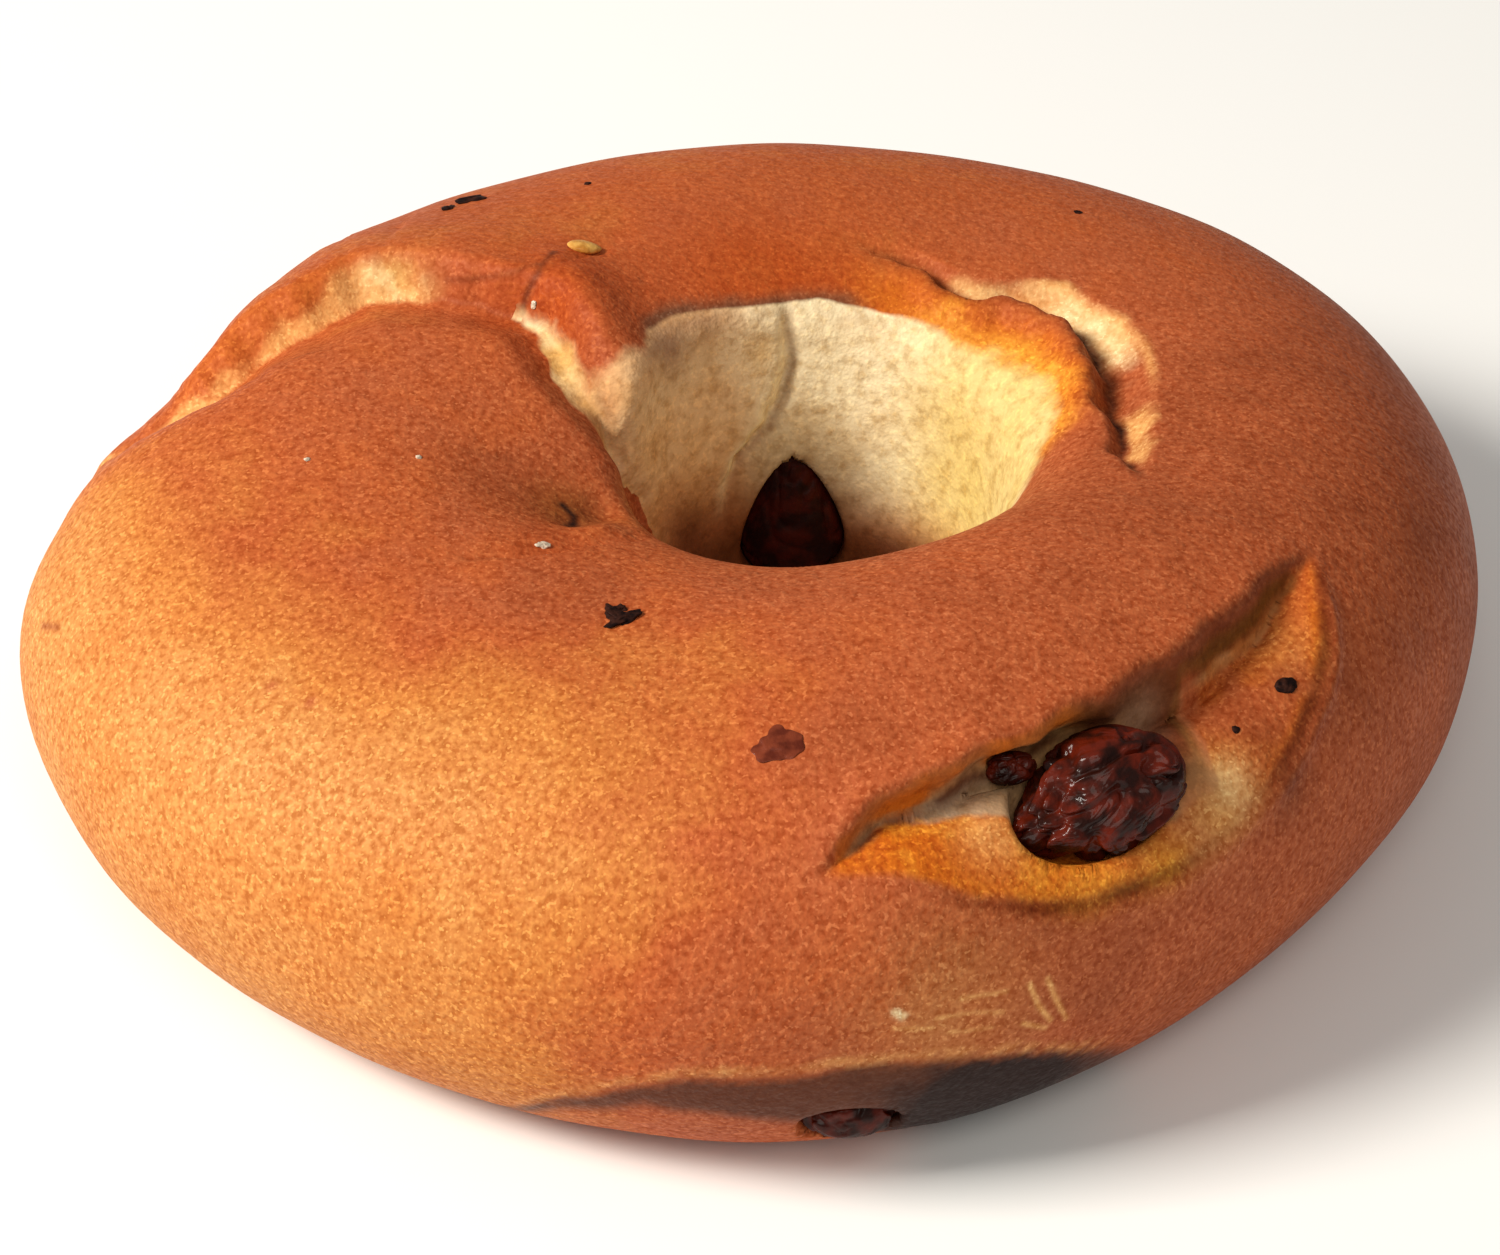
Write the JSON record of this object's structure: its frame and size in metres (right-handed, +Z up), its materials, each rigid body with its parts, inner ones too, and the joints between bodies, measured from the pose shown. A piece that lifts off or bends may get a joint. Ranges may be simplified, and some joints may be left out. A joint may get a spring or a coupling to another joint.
{
  "type": "raisin bagel",
  "caption": "Baked dough ring with overlapping rope ends, a small steep hole, a torn crack beside it, an open split on one side and raisins set in the dough.",
  "frame": {"origin": "middle of the outline, on the surface the bagel rests on", "axes": "+Z up, +X to the right along the widest way, -Y the front with the split"},
  "size_m": [0.1129, 0.1042, 0.0348],
  "materials": {
    "crust": "matte",
    "raisin": "glossy"
  },
  "bodies": {
    "root": {"bread": "crust", "raisin_split": "raisin", "raisin_split_small": "raisin", "raisin_hole": "raisin", "raisin_base": "raisin"}
  },
  "joints": []
}
